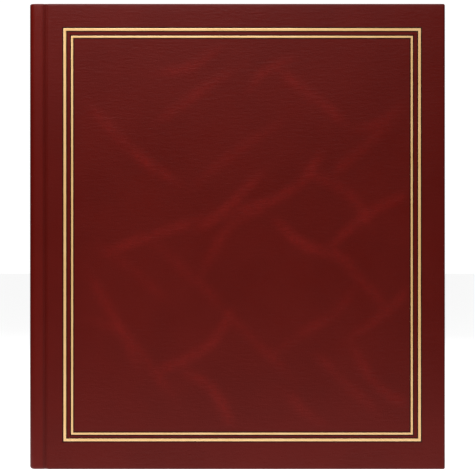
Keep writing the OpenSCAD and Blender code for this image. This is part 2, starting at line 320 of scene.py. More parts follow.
def new_group(name, inputs, outputs):
    """An empty shader group with named sockets, and the helper, its inputs and its output node."""
    group = bpy.data.node_groups.new(name, "ShaderNodeTree")
    nodes = Nodes(group)
    for label, kind, default in inputs:
        socket = group.interface.new_socket(label, in_out="INPUT", socket_type=kind)
        if default is not None:
            socket.default_value = default
    for label, kind in outputs:
        group.interface.new_socket(label, in_out="OUTPUT", socket_type=kind)
    return group, nodes, nodes.add("NodeGroupInput").outputs, nodes.add("NodeGroupOutput").inputs


def new_material(name):
    """A material with an empty tree, and the helper for it."""
    material = bpy.data.materials.new(name)
    material.use_nodes = True
    return material, Nodes(material.node_tree)


def shade(tint, factor):
    """A colour made darker or lighter."""
    return tuple(c * factor for c in tint)


def leather_grain_group():
    """Fine pebbles and short level wrinkles of rolled leatherette."""
    group, nodes, given, out = new_group(
        "Leatherette Grain",
        [("Vector", "NodeSocketVector", None), ("Pebble", "NodeSocketFloat", 1500.0),
         ("Wrinkle", "NodeSocketFloat", 1.0)],
        [("Height", "NodeSocketFloat"), ("Tone", "NodeSocketFloat")],
    )
    vector = given["Vector"]
    warp = nodes.noise(vector, 260.0, 2.0)
    pebble = nodes.cells(vector, given["Pebble"], "SMOOTH_F1", 0.6)
    level = nodes.mapped(vector, scale=(130, 130, 640))
    wrinkle = nodes.noise(level, 1.0, 3.0, 0.6, 0.4)
    wrinkle = nodes.math("MULTIPLY", wrinkle, given["Wrinkle"])
    raised = nodes.math("MULTIPLY", pebble, nodes.math("ADD", warp, 0.35))
    nodes.put(out["Height"], nodes.plus(wrinkle, raised, 0.5))
    nodes.put(out["Tone"], nodes.noise(vector, 22.0, 3.0, 0.55))
    return group


def pressed_line_group():
    """Painted shade beside a rectangular pressed line in leatherette, standing in for the shadow of its
    groove.
    """
    group, nodes, given, out = new_group(
        "Pressed Line Edge",
        [("Vector", "NodeSocketVector", None), ("Centre", "NodeSocketVector", None),
         ("Reach", "NodeSocketVector", None), ("Half Width", "NodeSocketFloat", 0.001),
         ("Spread", "NodeSocketFloat", 0.0006)],
        [("Mask", "NodeSocketFloat")],
    )
    away = nodes.vector("ABSOLUTE", nodes.vector("SUBTRACT", given["Vector"], given["Centre"]), (0, 0, 0))
    x, _, z = nodes.split(nodes.vector("SUBTRACT", away, given["Reach"]))
    across = nodes.math("ABSOLUTE", nodes.math("MAXIMUM", x, z))
    beside = nodes.math("DIVIDE", nodes.math("SUBTRACT", across, given["Half Width"]), given["Spread"])
    nodes.put(out["Mask"], nodes.math("SUBTRACT", 1.0, nodes.smooth(beside, 0.45, 1.25)))
    return group


def paper_group():
    """Fibres and soft cloudiness of card and paper."""
    group, nodes, given, out = new_group(
        "Paper Fibre",
        [("Vector", "NodeSocketVector", None), ("Fibre", "NodeSocketFloat", 1.0)],
        [("Height", "NodeSocketFloat"), ("Cloud", "NodeSocketFloat")],
    )
    fibres = nodes.noise(nodes.mapped(given["Vector"], scale=(900, 900, 260)), 1.0, 4.0, 0.65, 0.8)
    specks = nodes.noise(given["Vector"], 2600.0, 2.0)
    nodes.put(out["Height"], nodes.math("MULTIPLY", nodes.plus(fibres, specks, 0.4), given["Fibre"]))
    nodes.put(out["Cloud"], nodes.noise(given["Vector"], 45.0, 3.0, 0.6))
    return group


def wear_group():
    """Handling marks: fine scratches and smudges that change gloss and tone."""
    group, nodes, given, out = new_group(
        "Handling Marks",
        [("Vector", "NodeSocketVector", None), ("Amount", "NodeSocketFloat", 0.5)],
        [("Smudge", "NodeSocketFloat"), ("Scratch", "NodeSocketFloat")],
    )
    smudge = nodes.smooth(nodes.noise(given["Vector"], 60.0, 4.0, 0.6, 0.5), 0.45, 0.75)
    lines = nodes.noise(nodes.mapped(given["Vector"], scale=(60, 60, 2600)), 1.0, 2.0, 0.5, 0.3)
    nodes.put(out["Smudge"], nodes.math("MULTIPLY", smudge, given["Amount"]))
    nodes.put(out["Scratch"], nodes.math("MULTIPLY", nodes.smooth(lines, 0.66, 0.74), given["Amount"]))
    return group


def leatherette(name, case, lines=(), bends=False, painted_light_and_shade=1.0):
    """Oxblood leatherette, its colour scaled by a factor that paints light or shade on the whole piece.

    On the gilt cover, lines are its pressed lines, with painted shade beside them, and the creases show
    inside them in lighter red, partly painted sheen and partly the skin's two-tone look.
    """
    material, nodes = new_material(name)
    red = shade(case.red, painted_light_and_shade)
    place = nodes.place(bends)
    wrinkle = 1.0
    if lines:
        crease = nodes.add("ShaderNodeAttribute", attribute_name="crease").outputs["Fac"]
        wrinkle = nodes.plus(1.0, crease, 0.7)
    grain = nodes.use(GROUPS["grain"], Vector=place, Wrinkle=wrinkle)
    tone = nodes.smooth(grain["Tone"], 0.3, 0.7)
    base = nodes.mix(tone, shade(red, 0.95), shade(red, 1.05))
    if lines:
        patchy = nodes.smooth(nodes.noise(place, 42.0, 3.0, 0.6), 0.25, 0.75)
        crinkle = nodes.smooth(nodes.noise(place, 380.0, 3.0, 0.65), 0.3, 0.7)
        crease = nodes.math("MULTIPLY", crease, nodes.math("ADD", patchy, 0.45))
        crease = nodes.math("MULTIPLY", crease, nodes.plus(0.7, crinkle, 0.6))
        # The creases drawn in lighter red: partly painted sheen of their wrinkles, partly the skin's
        # two-tone rubbed look
        base = nodes.mix(crease, base, tuple(case.streak_tone_and_sheen))
    for line in lines:
        (left, right), (foot, head) = line["x"], line["z"]
        groove_shade = nodes.use(
            GROUPS["pressed"], Vector=place, Centre=((left + right) / 2, 0, (foot + head) / 2),
            Reach=((right - left) / 2, 0, (head - foot) / 2), Half_Width=line["half"],
            Spread=case.groove_shade_width,
        )["Mask"]
        # Painted shade: near-black red drawn along both sides of each pressed line, standing in for the
        # shadow of its groove
        base = nodes.mix(nodes.math("MULTIPLY", groove_shade, 0.9), base, shade(case.red, 0.15))
    marks = nodes.use(GROUPS["wear"], Vector=place, Amount=0.5)
    rough = nodes.plus(nodes.plus(case.roughness, grain["Tone"], 0.05), marks["Smudge"], -0.06)
    nodes.surface(
        Base_Color=base, Roughness=rough, Specular_IOR_Level=0.19,
        Normal=nodes.bump(grain["Height"], case.grain, 1.0),
    )
    return material


def gold_foil(name, gilt):
    """Hot-stamped foil: bright, slightly broken by the grain under it."""
    material, nodes = new_material(name)
    place = nodes.place()
    grain = nodes.use(GROUPS["grain"], Vector=place, Pebble=1500.0, Wrinkle=0.7)
    along = nodes.noise(place, 55.0, 3.0, 0.6)
    warm = tuple(c * f for c, f in zip(gilt.gold, (0.97, 0.93, 0.85)))
    base = nodes.mix(nodes.smooth(along, 0.35, 0.65), warm, tuple(gilt.gold))
    pits = nodes.smooth(nodes.noise(place, 1900.0, 2.0), 0.66, 0.74)
    base = nodes.mix(nodes.math("MULTIPLY", pits, 0.35), base, (0.30, 0.12, 0.05))
    nodes.surface(
        Base_Color=base, Metallic=0.15, Roughness=nodes.plus(gilt.roughness, along, 0.12),
        Specular_IOR_Level=1.0,
        Normal=nodes.bump(grain["Height"], 0.05 * MM, 0.5),
    )
    return material


def paper(name, tint, fibre=0.5, bends=False, laid=0.0, alpha=None, roughness=0.8):
    """Card or paper with fibres; laid adds the close lines of laid paper."""
    material, nodes = new_material(name)
    place = nodes.place(bends)
    fibres = nodes.use(GROUPS["paper"], Vector=place, Fibre=fibre)
    cloud = nodes.smooth(fibres["Cloud"], 0.3, 0.7)
    base = nodes.mix(cloud, shade(tint, 0.93), shade(tint, 1.04))
    height = fibres["Height"]
    if laid:
        z = nodes.split(place)[2]
        lines = nodes.math("SINE", nodes.math("MULTIPLY", z, 2 * math.pi / LAID_SPACING))
        height = nodes.plus(height, lines, laid)
    values = {
        "Base_Color": base, "Roughness": nodes.plus(roughness, cloud, 0.06),
        "Specular_IOR_Level": 0.3, "Normal": nodes.bump(height, 0.05 * MM, 0.5),
    }
    if alpha is not None:
        values["Alpha"] = nodes.plus(alpha, cloud, 0.08)
    nodes.surface(**values)
    return material


def greyboard(name):
    """Pressed grey board with flecks of recycled fibre."""
    material, nodes = new_material(name)
    place = nodes.place()
    fibres = nodes.use(GROUPS["paper"], Vector=place, Fibre=1.0)
    flecks = nodes.smooth(nodes.noise(place, 1400.0, 2.0, 0.6), 0.6, 0.68)
    base = nodes.mix(fibres["Cloud"], (0.28, 0.255, 0.215), (0.36, 0.33, 0.285))
    base = nodes.mix(nodes.math("MULTIPLY", flecks, 0.6), base, (0.12, 0.10, 0.085))
    nodes.surface(Base_Color=base, Roughness=0.9, Normal=nodes.bump(fibres["Height"], 0.1 * MM, 0.6))
    return material


def foam(name):
    """Open-celled foam sheet."""
    material, nodes = new_material(name)
    place = nodes.place()
    cells = nodes.cells(place, 1300.0)
    base = nodes.mix(nodes.smooth(cells, 0.1, 0.6), (0.82, 0.78, 0.66), (0.62, 0.57, 0.45))
    nodes.surface(Base_Color=base, Roughness=0.95, Normal=nodes.bump(cells, 0.3 * MM, 0.8))
    return material


def metal(name, tint, roughness, brushed=0.3, metallic=1.0):
    """Turned, rolled or enamelled metal with fine handling marks."""
    material, nodes = new_material(name)
    place = nodes.place()
    marks = nodes.use(GROUPS["wear"], Vector=place, Amount=brushed)
    base = nodes.mix(marks["Smudge"], tint, shade(tint, 0.8))
    rough = nodes.plus(roughness, marks["Scratch"], 0.25)
    height = nodes.plus(marks["Scratch"], nodes.noise(place, 2200.0, 3.0), 0.4)
    nodes.surface(
        Base_Color=base, Metallic=metallic, Roughness=rough,
        Normal=nodes.bump(height, 0.03 * MM, 0.5),
    )
    return material


def clear_film(name):
    """Clear polyester strip: thin, glossy and slightly grey."""
    material, nodes = new_material(name)
    place = nodes.place()
    marks = nodes.use(GROUPS["wear"], Vector=place, Amount=0.5)
    base = nodes.mix(marks["Smudge"], (0.80, 0.84, 0.87), (0.74, 0.78, 0.81))
    alpha = nodes.plus(0.15, marks["Smudge"], 0.05)
    nodes.surface(Base_Color=base, Roughness=nodes.plus(0.16, marks["Smudge"], 0.08), Alpha=alpha)
    return material


GROUPS = {}


def make_groups():
    """Builds the shared effects once."""
    GROUPS.update(
        grain=leather_grain_group(), pressed=pressed_line_group(), paper=paper_group(), wear=wear_group()
    )


# ---------------------------------------------------------------- mesh helpers


def smoothed(mesh, sharp_angle=35):
    """Shades a mesh smooth, but for its edges sharper than the angle in degrees."""
    mesh.shade_smooth()
    mesh.set_sharp_from_angle(angle=math.radians(sharp_angle))


def new_piece(name, points, faces, material, flat=False, sharp_angle=35):
    """A mesh object at the origin, its place in its mesh."""
    mesh = bpy.data.meshes.new(name)
    mesh.from_pydata([tuple(p) for p in points], [], faces)
    mesh.update()
    if not flat:
        smoothed(mesh, sharp_angle)
    mesh.materials.append(material)
    piece = bpy.data.objects.new(name, mesh)
    bpy.context.scene.collection.objects.link(piece)
    return piece


def merged(piece, distance=0.01 * MM, outward=False):
    """Joins doubled points, and turns a closed mesh's faces outwards if asked."""
    shape = bmesh.new()
    shape.from_mesh(piece.data)
    bmesh.ops.remove_doubles(shape, verts=shape.verts, dist=distance)
    bmesh.ops.dissolve_degenerate(shape, edges=shape.edges, dist=distance * 0.1)
    if outward:
        bmesh.ops.recalc_face_normals(shape, faces=shape.faces)
    shape.to_mesh(piece.data)
    shape.free()
    return piece


def grid_faces(rows, count, turned=False):
    """Faces of a grid of points given row by row; turned ones face the other way."""
    faces = []
    for row in range(rows - 1):
        for a in range(row * count, (row + 1) * count - 1):
            b, c, d = a + 1, a + count + 1, a + count
            faces.append((a, d, c, b) if turned else (a, b, c, d))
    return faces


def turned_over(faces):
    """The same faces, facing the other way."""
    return [tuple(reversed(face)) for face in faces]


def levels_of(node, axis):
    """The separate places at which a CAD node's points lie along one axis."""
    return sorted({round(v.co[axis], 6) for v in frame["nodes"][node].data.vertices})


def applied(piece):
    """The piece with its modifiers turned into plain mesh."""
    seen = piece.evaluated_get(bpy.context.evaluated_depsgraph_get())
    mesh = bpy.data.meshes.new_from_object(seen)
    piece.modifiers.clear()
    old = piece.data
    piece.data = mesh
    mesh.name = piece.name
    smoothed(mesh)
    bpy.data.meshes.remove(old)
    return piece


def thickened(piece, thickness):
    """Gives an open skin its thickness, inwards from its outer surface."""
    wall = piece.modifiers.new("Wall", "SOLIDIFY")
    wall.thickness = thickness
    wall.offset = -1
    wall.use_even_offset = True
    return applied(piece)


def store_rest_place(piece):
    """Keeps every point's rest place on it, so that a pattern bends with the piece."""
    mesh = piece.data
    flat = np.empty(len(mesh.vertices) * 3, np.float32)
    mesh.vertices.foreach_get("co", flat)
    mesh.attributes.new("rest_place", "FLOAT_VECTOR", "POINT").data.foreach_set("vector", flat)
    return piece


def smooth_step(value, low, high):
    """0 below low, 1 above high and a smooth step between."""
    t = min(1.0, max(0.0, (value - low) / (high - low)))
    return t * t * (3 - 2 * t)


def with_steps(stations, step):
    """Sorted stations with enough between them that none is further than step from the next."""
    stations = sorted(stations)
    filled = [stations[0]]
    for station in stations[1:]:
        gap = station - filled[-1]
        if gap < 0.005 * MM:
            continue
        parts = max(1, math.ceil(gap / step - 1e-6))
        start = filled[-1]
        filled += [start + gap * (k + 1) / parts for k in range(parts)]
    return filled


def finished(piece, body, slot, *nodes):
    """Rides the piece on its body, in the place of its CAD nodes."""
    if nodes:
        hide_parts(*nodes)
    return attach(piece, body)


def finished_bend(piece, bodies, start, end, slot, *nodes):
    """Keeps the piece's rest places and bakes its transform, in the place of its CAD nodes."""
    store_rest_place(piece)
    if nodes:
        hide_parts(*nodes)
    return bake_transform(piece)


def paint(node, material):
    """Gives a carried-over CAD node its finish."""
    piece = frame["nodes"][node]
    piece.data.materials.clear()
    piece.data.materials.append(material)


def solids(node):
    """The low and high corner of each separate solid of a CAD node, in order along X, Y and Z."""
    shape = bmesh.new()
    shape.from_mesh(frame["nodes"][node].data)
    bmesh.ops.remove_doubles(shape, verts=shape.verts, dist=0.001 * MM)
    seen, found = set(), []
    for seed in shape.verts:
        if seed in seen:
            continue
        seen.add(seed)
        group, waiting = [], [seed]
        while waiting:
            vertex = waiting.pop()
            group.append(vertex.co.copy())
            for edge in vertex.link_edges:
                other = edge.other_vert(vertex)
                if other not in seen:
                    seen.add(other)
                    waiting.append(other)
        low = Vector([min(p[a] for p in group) for a in range(3)])
        high = Vector([max(p[a] for p in group) for a in range(3)])
        found.append((low, high))
    shape.free()
    return sorted(found, key=lambda pair: tuple(round(v, 6) for v in pair[0]))


# ---------------------------------------------------------------- the covers


def line_frame(node):
    """A gold line's centre rectangle, half width and depth below the cover's face."""
    low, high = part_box(node)
    levels = levels_of(node, 0)
    half = (levels[1] - levels[0]) / 2
    return {
        "x": (low.x + half, high.x - half), "z": (low.z + half, high.z - half), "half": half,
        "floor": high.y, "top": low.y,
    }


def pressed(x, z, lines, face):
    """How deep the cover's face lies at a point because of the pressed lines."""
    depth = 0.0
    for line in lines:
        across = max(line["x"][0] - x, x - line["x"][1], line["z"][0] - z, z - line["z"][1])
        near = abs(across) - line["half"]
        depth = max(depth, (line["floor"] - face) * (1 - smooth_step(near, -LINE_SHOULDER, LINE_SHOULDER)))
    return depth


def line_stations(lines, axis):
    """Stations at which a grid follows the slopes of the pressed lines along one axis."""
    found = []
    for line in lines:
        for centre in line[axis]:
            for side in (-1, 1):
                edge = centre + side * line["half"]
                found += [edge - LINE_SHOULDER, edge, edge + LINE_SHOULDER]
    return found


def edge_stations(low, high, radius, steps=5):
    """Stations that turn a box's edge into an even round of that radius."""
    turns = [radius * (1 - math.tan(math.radians(45 * k / steps))) for k in range(steps + 1)]
    return [low + t for t in turns] + [high - t for t in turns]


def crease_strokes(low, high, count, seed):
    """Soft curved strokes on the framed field, on two slants, some of them joined end to end.

    Each is its points and its strength.
    """
    draw = random.Random(seed)
    strokes, middles = [], []
    tries = 0
    while len(strokes) < count and tries < CREASE_TRIES:
        tries += 1
        start = np.array([draw.uniform(low.x, high.x), draw.uniform(low.z, high.z)])
        falling = draw.random() < 0.6
        for _ in range(draw.choice((1, 2, 2, 3))):
            angle = math.radians(draw.gauss(CREASE_FALL if falling else CREASE_RISE, CREASE_SPREAD))
            length = draw.uniform(*CREASE_LENGTHS) * MM
            along = np.array([math.cos(angle), math.sin(angle)]) * length
            side = np.array([-along[1], along[0]]) * draw.uniform(-0.1, 0.1)
            strength = draw.uniform(0.35, 0.85)
            waver = draw.uniform(0, 6.28)
            middle = start + along / 2
            if any(np.hypot(*(middle - other)) < CREASE_GAP for other in middles):
                break
            if not (low.x < middle[0] < high.x and low.z < middle[1] < high.z):
                break
            shares = np.linspace(0, 1, 13)[:, None]
            swing = 4 * shares * (1 - shares) + 0.3 * np.sin(7 * shares + waver)
            line = start + along * shares + side * swing
            strokes.append((line, strength))
            middles.append(middle)
            start, falling = line[draw.choice((8, 12)) if falling else draw.choice((0, 4))], not falling
    return strokes


def crease_values(places, strokes, width):
    """How creased the skin is at each place, from 0 to 1."""
    total = np.zeros(len(places))
    for line, strength in strokes:
        best = np.zeros(len(places))
        parts = len(line) - 1
        for k in range(parts):
            a, way = line[k], line[k + 1] - line[k]
            t = np.clip(((places - a) @ way) / (way @ way), 0, 1)
            away = np.hypot(*(places - a - t[:, None] * way).T)
            along = (k + t) / parts
            taper = np.clip(np.minimum(along, 1 - along) / 0.22, 0.1, 1)
            near = np.clip(1 - away / (width * (0.7 + 0.3 * taper)), 0, 1)
            best = np.maximum(best, near * near * (3 - 2 * near) * taper)
        total += best * strength * (1 - total)
    return total


def add_creases(skin, lines, case):
    """Raises the creases on the gilt cover inside its inner line, and marks where they are."""
    inner = lines[-1]
    low = Vector((inner["x"][0], 0, inner["z"][0]))
    high = Vector((inner["x"][1], 0, inner["z"][1]))
    mesh = skin.data
    flat = np.empty(len(mesh.vertices) * 3, np.float32)
    mesh.vertices.foreach_get("co", flat)
    places = flat.reshape(-1, 3)
    strokes = crease_strokes(low, high, case.creases, case.seed)
    values = crease_values(places[:, [0, 2]], strokes, case.crease_width)
    rim = np.minimum.reduce([
        places[:, 0] - low.x, high.x - places[:, 0], places[:, 2] - low.z, high.z - places[:, 2]
    ])
    values *= np.clip((rim - CREASE_RIM) / CREASE_FADE, 0, 1)
    values[places[:, 1] > CAD_LOW.y + 0.2 * MM] = 0
    places[:, 1] -= (values * case.crease).astype(np.float32)
    mesh.vertices.foreach_set("co", places.ravel())
    mesh.attributes.new("crease", "FLOAT", "POINT").data.foreach_set("value", values.astype(np.float32))
    mesh.update()


def cover_surface(low, high, radius, sink, lines, window, step):
    """Points and faces of a cover's skin: front, edges and turned-in border, open inside the window."""
    reach = [1.2 * MM, 2.4 * MM, 4 * MM, SINK_REACH]
    xs, zs = (
        with_steps(
            edge_stations(low[a], high[a], radius)
            + [low[a] + radius + r for r in reach] + [high[a] - radius - r for r in reach]
            + [low[a] + window, high[a] - window] + line_stations(lines, name),
            step,
        )
        for a, name in ((0, "x"), (2, "z"))
    )
    ys = with_steps(edge_stations(low.y, high.y, radius), 1.5 * MM)
    last = (len(xs) - 1, len(ys) - 1, len(zs) - 1)
    index, points, faces = {}, [], []
    inner_low = low + Vector((radius,) * 3)
    inner_high = high - Vector((radius,) * 3)

    def point(i, j, k):
        if (i, j, k) not in index:
            raw = Vector((xs[i], ys[j], zs[k]))
            core = Vector([min(max(raw[a], inner_low[a]), inner_high[a]) for a in range(3)])
            out = raw - core
            place = core + out.normalized() * radius if out.length > 1e-9 else raw
            if j == 0:
                edge = min(raw.x - low.x, high.x - raw.x, raw.z - low.z, high.z - raw.z)
                place.y += sink * (1 - smooth_step(edge, 0, SINK_REACH)) * (out.y / -radius)
                place.y += pressed(raw.x, raw.z, lines, low.y)
            index[i, j, k] = len(points)
            points.append(place)
        return index[i, j, k]

    def face(*corners):
        faces.append(tuple(point(*c) for c in corners))

    def turned_in(i, k):
        x, z = (xs[i] + xs[i + 1]) / 2, (zs[k] + zs[k + 1]) / 2
        return min(x - low.x, high.x - x, z - low.z, high.z - z) < window

    for i in range(last[0]):
        for k in range(last[2]):
            face((i, 0, k), (i + 1, 0, k), (i + 1, 0, k + 1), (i, 0, k + 1))
            if turned_in(i, k):
                j = last[1]
                face((i, j, k), (i, j, k + 1), (i + 1, j, k + 1), (i + 1, j, k))
    for j in range(last[1]):
        for k in range(last[2]):
            face((0, j, k), (0, j, k + 1), (0, j + 1, k + 1), (0, j + 1, k))
            i = last[0]
            face((i, j, k), (i, j + 1, k), (i, j + 1, k + 1), (i, j, k + 1))
        for i in range(last[0]):
            face((i, j, 0), (i, j + 1, 0), (i + 1, j + 1, 0), (i + 1, j, 0))
            k = last[2]
            face((i, j, k), (i + 1, j, k), (i + 1, j + 1, k), (i, j + 1, k))
    return points, faces


def skin_thickness():
    """The leatherette's thickness: from the front cover's face to its padding."""
    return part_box("front_cover_padding")[0].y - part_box("front_cover_skin")[0].y


def turn_in_width():
    """How far the leatherette is turned in: to the filler card's edge."""
    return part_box("front_cover_filler")[0].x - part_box("front_cover_skin")[0].x


def cover_piece(name, body, box, radius, sink, lines, window, step, material):
    """A piece of the front cover's shape, mirrored for the back cover."""
    points, faces = cover_surface(*box, radius, sink, lines, window, step)
    if body == "back_cover":
        points = [Vector((p.x, -p.y, p.z)) for p in points]
        faces = turned_over(faces)
    return new_piece(name, points, faces, material)


class ALBUM_OT_covers(bpy.types.Operator):
    """Makes the leatherette skins of the two covers, with their turn-ins and the pressed lines"""

    bl_idname = "album.covers"
    bl_label = "Cover Skins"

    def execute(self, context):
        case = context.scene.album_case
        lines = [line_frame(node) for node in GOLD_LINES]
        gilded = leatherette("Leatherette Gilded Cover", case, lines=lines)
        plain = leatherette("Leatherette Plain Cover", case)
        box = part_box("front_cover_skin")
        for body, marks, step, material in (
            ("front_cover", lines, FINE, gilded), ("back_cover", [], COARSE, plain),
        ):
            skin = cover_piece(
                body + "_leatherette", body, box, case.edge, case.sink, marks, turn_in_width(), step,
                material,
            )
            if marks:
                add_creases(skin, marks, case)
            thickened(skin, skin_thickness())
            finished(skin, body, "leatherette", body + "_skin")
        return {"FINISHED"}


class ALBUM_OT_pads(bpy.types.Operator):
    """Makes the foam pads under the covers' skins, pressed in where the gold lines are"""

    bl_idname = "album.pads"
    bl_label = "Foam Pads"

    def execute(self, context):
        case = context.scene.album_case
        material = foam("Foam Padding")
        lines = [line_frame(node) for node in GOLD_LINES]
        for line in lines:
            line["floor"] += skin_thickness()
        low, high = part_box("front_cover_padding")
        radius = 0.45 * (high.y - low.y)
        whole = (high.x - low.x) / 2  # a border this wide leaves no window
        for body, marks in (("front_cover", lines), ("back_cover", [])):
            pad = cover_piece(
                body + "_foam_pad", body, (low, high), radius, case.sink, marks, whole, COARSE, material
            )
            finished(pad, body, "foam", body + "_padding")
        return {"FINISHED"}


# ---------------------------------------------------------------- the spine


def arc(centre, radius, start, end, steps):
    """Points along an arc, with the outward direction at each, angles in degrees."""
    found = []
    for k in range(steps + 1):
        angle = math.radians(start + (end - start) * k / steps)
        way = (math.cos(angle), math.sin(angle))
        found.append(((centre[0] + radius * way[0], centre[1] + radius * way[1]), way))
    return found


def straight(start, end, way, step):
    """Points along a straight run between two corners, ends left out, with their outward direction."""
    length = math.dist(start, end)
    parts = max(1, math.ceil(length / step))
    return [
        (tuple(start[a] + (end[a] - start[a]) * k / parts for a in (0, 1)), way)
        for k in range(1, parts)
    ]


def spine_outline(low, high, shoulder_y, wide, shoulder, fall, stations):
    """The spine's section from the front shoulder's lip round to the back one, with outward ways."""
    right = high.x
    lip_y = low.y + fall
    front = [((right, -shoulder_y), (1, 0))]
    front += arc((right - LIP, lip_y + LIP), LIP, 0, -75, 4)
    slope_width = shoulder - LIP
    for k in range(7):
        reach = 1 - k / 6
        way = Vector((2 * fall * reach / slope_width, -1)).normalized()
        front.append(((right - shoulder + slope_width * reach, low.y + fall * reach ** 2), tuple(way)))
    front += straight((right - shoulder, low.y), (low.x + wide, low.y), (0, -1), 1.5 * MM)
    front += arc((low.x + wide, low.y + wide), wide, -90, -180, 12)
    spine_ys = with_steps([low.y + wide, high.y - wide] + stations, 4 * MM)
    face = [((low.x, y), (-1, 0)) for y in spine_ys[1:-1]]
    back = [((x, -y), (wx, -wy)) for (x, y), (wx, wy) in reversed(front)]
    return front + face + back


def skin_rows(low_z, high_z, case, step, edges=()):
    """Levels of a skin that turns over at its head and tail, each with how far it is set back."""
    head, tail = case.head_round, case.tail_round
    middle = with_steps([low_z + tail, high_z - head, *edges], step)
    rows = [(low_z + tail * up, tail * inset) for up, inset in END_TURNS]
    rows += [(z, 0.0) for z in middle[1:-1]]
    rows += [(high_z - head * up, head * inset) for up, inset in reversed(END_TURNS)]
    return rows


class ALBUM_OT_spine(bpy.types.Operator):
    """Makes the leatherette skin of the spine, turned over its head and tail"""

    bl_idname = "album.spine"
    bl_label = "Spine Skin"

    def execute(self, context):
        case = context.scene.album_case
        low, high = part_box("spine_skin")
        wall_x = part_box("spine_lining")[0].x
        shoulder_y = CAD_HIGH.y - (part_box("front_cover_skin")[1].y - CAD_LOW.y)
        _, bands_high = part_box("spine_gold_bands")
        levels = levels_of("spine_gold_bands", 2)
        bands = list(zip(levels[0::2], levels[1::2]))
        depth = bands_high.x - low.x
        side = bands_high.y
        wide = case.spine_round
        ends = [-side - LINE_SHOULDER, -side + LINE_SHOULDER, side - LINE_SHOULDER, side + LINE_SHOULDER]
        outline = spine_outline(low, high, shoulder_y, wide, case.shoulder, case.shoulder_fall, ends)
        edges = [e + s * LINE_SHOULDER for band in bands for e in band for s in (-1, 1)]
        rows = skin_rows(low.z, high.z, case, 12 * MM, edges)
        points = []

        def sunk(y, z):
            across = smooth_step(side - abs(y), -LINE_SHOULDER, LINE_SHOULDER)
            along = max(
                smooth_step(min(z - a, b - z), -LINE_SHOULDER, LINE_SHOULDER) for a, b in bands
            )
            return depth * across * along

        for z, inset in rows:
            for (x, y), (wx, wy) in outline:
                if wx > 0:
                    depth_in = max(CAD_HIGH.y - abs(y) + inset * abs(wy), inset)
                    points.append((x, math.copysign(CAD_HIGH.y - depth_in, y), z))
                    continue
                sink = sunk(y, z) if wx < -0.99 else 0.0
                points.append((x - wx * inset + sink, y - wy * inset, z))
        count = len(outline)
        faces = grid_faces(len(rows), count, turned=True)
        for row, upward in ((0, False), (len(rows) - 1, True)):
            start = len(points)
            for c in range(count):
                x, y, z = points[row * count + c]
                points.append((max(x, wall_x), min(max(y, -shoulder_y), shoulder_y), z))
            for c in range(count - 1):
                a, b = row * count + c, start + c
                faces.append((a, b, b + 1, a + 1) if upward else (a, a + 1, b + 1, b))
        # Painted light: the spine's skin is the leatherette drawn lighter by the spine factor, standing in
        # for the sheen on its shoulder
        material = leatherette("Leatherette Spine", case, painted_light_and_shade=case.spine_painted_light)
        skin = new_piece("spine_leatherette", points, faces, material)
        merged(skin)
        thickened(skin, skin_thickness())
        finished(skin, "spine", "leatherette", "spine_skin")
        return {"FINISHED"}


class ALBUM_OT_joints(bpy.types.Operator):
    """Makes the two strips of leatherette that lie in the hinge grooves"""

    bl_idname = "album.joints"
    bl_label = "Hinge Grooves"

    def execute(self, context):
        case = context.scene.album_case
        # Painted shade: the strip in each hinge groove is the leatherette drawn 10% darker, standing in for
        # the groove's shade
        material = leatherette("Leatherette Joint", case, bends=True, painted_light_and_shade=0.9)
        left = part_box("spine_skin")[1].x
        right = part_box("front_cover_skin")[0].x
        thickness = skin_thickness()
        rows = skin_rows(CAD_LOW.z, CAD_HIGH.z, case, 6 * MM)
        tucked_left, tucked_right = 0.25 * MM, 0.45 * MM
        start, end = left - tucked_left, right + tucked_right
        across = [start + (end - start) * k / 20 for k in range(21)]
        bottom = left + 0.6 * (right - left)
        near_spine = case.shoulder_fall + 0.15 * MM
        near_cover = 0.45 * MM
        for side, body in ((-1, "front_cover"), (1, "back_cover")):
            points = []
            for z, inset in rows:
                for x in across:
                    depth = near_spine + (case.groove - near_spine) * smooth_step(x, left, bottom)
                    depth -= (case.groove - near_cover) * smooth_step(x, bottom, right)
                    points.append((x, side * (CAD_HIGH.y - depth - inset), z))
            faces = grid_faces(len(rows), len(across))
            if side > 0:
                faces = turned_over(faces)
            strip = new_piece(body + "_joint", points, faces, material)
            thickened(strip, thickness)
            y = side * CAD_HIGH.y
            finished_bend(
                strip, ("spine", body), (left, y, 0), (right, y, 0), "leatherette",
                ("front" if side < 0 else "back") + "_joint_strip",
            )
        return {"FINISHED"}


# ---------------------------------------------------------------- gilding, boards and binding


def crowned_profile(half, floor, top, crown, steps=8):
    """Section of a gold line: across the line and along Y, closed, with a rounded front."""
    front = [
        (-half * math.cos(math.pi * k / steps), top - crown * math.sin(math.pi * k / steps))
        for k in range(steps + 1)
    ]
    return front + [(half, floor), (-half, floor)]


class ALBUM_OT_gilding(bpy.types.Operator):
    """Makes the two gold line frames on the front cover and finishes the bands on the spine"""

    bl_idname = "album.gilding"
    bl_label = "Gold Lines"

    def execute(self, context):
        gilt = context.scene.album_gilt
        material = gold_foil("Gold Foil", gilt)
        for node in GOLD_LINES:
            line = line_frame(node)
            section = crowned_profile(line["half"] * gilt.trim, line["floor"], line["top"], gilt.crown)
            corners = [(0, 0), (1, 0), (1, 1), (0, 1)]
            points, faces = [], []
            for i, k in corners:
                out_x, out_z = (1 if i else -1), (1 if k else -1)
                for across, y in section:
                    points.append((line["x"][i] + out_x * across, y, line["z"][k] + out_z * across))
            count = len(section)
            for side in range(4):
                for c in range(count):
                    a, b = side * count, ((side + 1) % 4) * count
                    d = (c + 1) % count
                    faces.append((a + c, a + d, b + d, b + c))
            piece = new_piece(node + "_foil", points, faces, material, sharp_angle=50)
            merged(piece, outward=True)
            finished(piece, "front_cover", "gold_foil", node)
        paint("spine_gold_bands", material)
        return {"FINISHED"}


